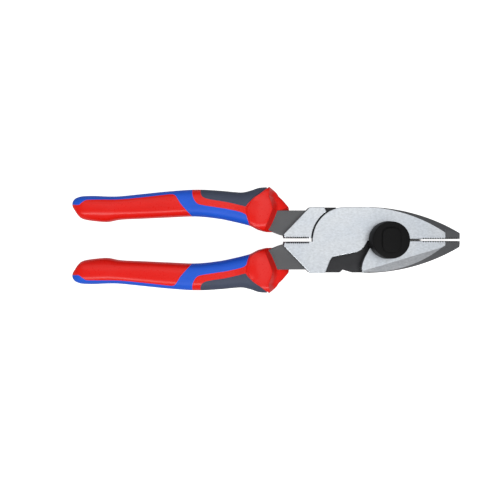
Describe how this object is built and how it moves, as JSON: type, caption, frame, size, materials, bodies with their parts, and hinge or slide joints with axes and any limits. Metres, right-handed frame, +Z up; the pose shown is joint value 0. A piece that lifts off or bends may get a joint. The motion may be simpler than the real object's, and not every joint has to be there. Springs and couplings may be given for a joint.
{
  "type": "lineman pliers",
  "caption": "Lineman pliers with toothed jaws, cutting edges behind them, a bolted pivot under a tall round collar, and moulded two-colour grips with finger guards.",
  "frame": {"origin": "on the pivot's axis, in the plane the pliers lie on, at the flush end of the bolt and nut", "axes": "+X from the pivot to the jaw tips, +Y towards the upper handle, +Z up through the pivot's crown"},
  "size_m": [0.24, 0.066, 0.0317],
  "materials": {
    "ground_steel": "satin ground faces with blackened forged sides",
    "blackened_steel": "satin black oxide",
    "zinc_steel": "dull zinc",
    "red_plastic": "satin moulded, hard core of the grip",
    "blue_rubber": "matt soft overmould",
    "grey_rubber": "matt soft overmould"
  },
  "bodies": {
    "upper_handle": {"upper_handle_half": "ground_steel", "pivot_bolt": "blackened_steel", "pivot_collar": "blackened_steel", "pivot_washer": "zinc_steel", "pivot_nut": "blackened_steel", "upper_grip_sleeve": "red_plastic", "upper_blue_overmould": "blue_rubber", "upper_grey_pad": "grey_rubber"},
    "lower_handle": {"lower_handle_half": "ground_steel", "lower_grip_sleeve": "red_plastic", "lower_blue_overmould": "blue_rubber", "lower_grey_pad": "grey_rubber"}
  },
  "joints": [
    {"name": "jaw_pivot", "type": "hinge", "parent": "upper_handle", "child": "lower_handle", "pos_m": [0, 0, 0.011], "axis": [0, 0, 1], "range_deg": [-0.25, 16]}
  ]
}
